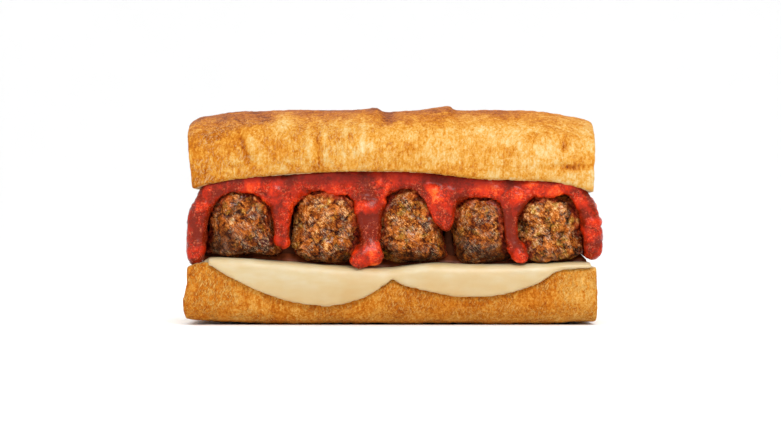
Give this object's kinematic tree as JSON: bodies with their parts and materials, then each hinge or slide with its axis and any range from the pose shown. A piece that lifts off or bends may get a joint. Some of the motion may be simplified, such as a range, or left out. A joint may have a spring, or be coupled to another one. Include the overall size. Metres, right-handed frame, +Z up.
{
  "type": "submarine sandwich",
  "caption": "Square-cut sub roll split in two, filled with a double row of meatballs in chunky tomato sauce on melted cheese slices that hang over both long sides.",
  "frame": {"origin": "centre of the bounding box in plan, on the plane that the flat base stands on", "axes": "+X along the roll, to the right of the picture; +Z up; the side that the picture shows faces -Y"},
  "size_m": [0.1822, 0.0843, 0.097],
  "materials": {
    "crust_pale": "matt",
    "crust_dark": "matt",
    "cheese": "satin",
    "tomato_sauce": "gloss",
    "meat": "satin"
  },
  "bodies": {
    "root": {"bread_top": "crust_pale", "bread_bottom": "crust_dark", "cheese_left": "cheese", "cheese_right": "cheese", "sauce": "tomato_sauce", "meatball_front_1": "meat", "meatball_front_2": "meat", "meatball_front_3": "meat", "meatball_front_4": "meat", "meatball_front_5": "meat", "meatball_back_1": "meat", "meatball_back_2": "meat", "meatball_back_3": "meat", "meatball_back_4": "meat", "meatball_back_5": "meat"}
  },
  "joints": []
}
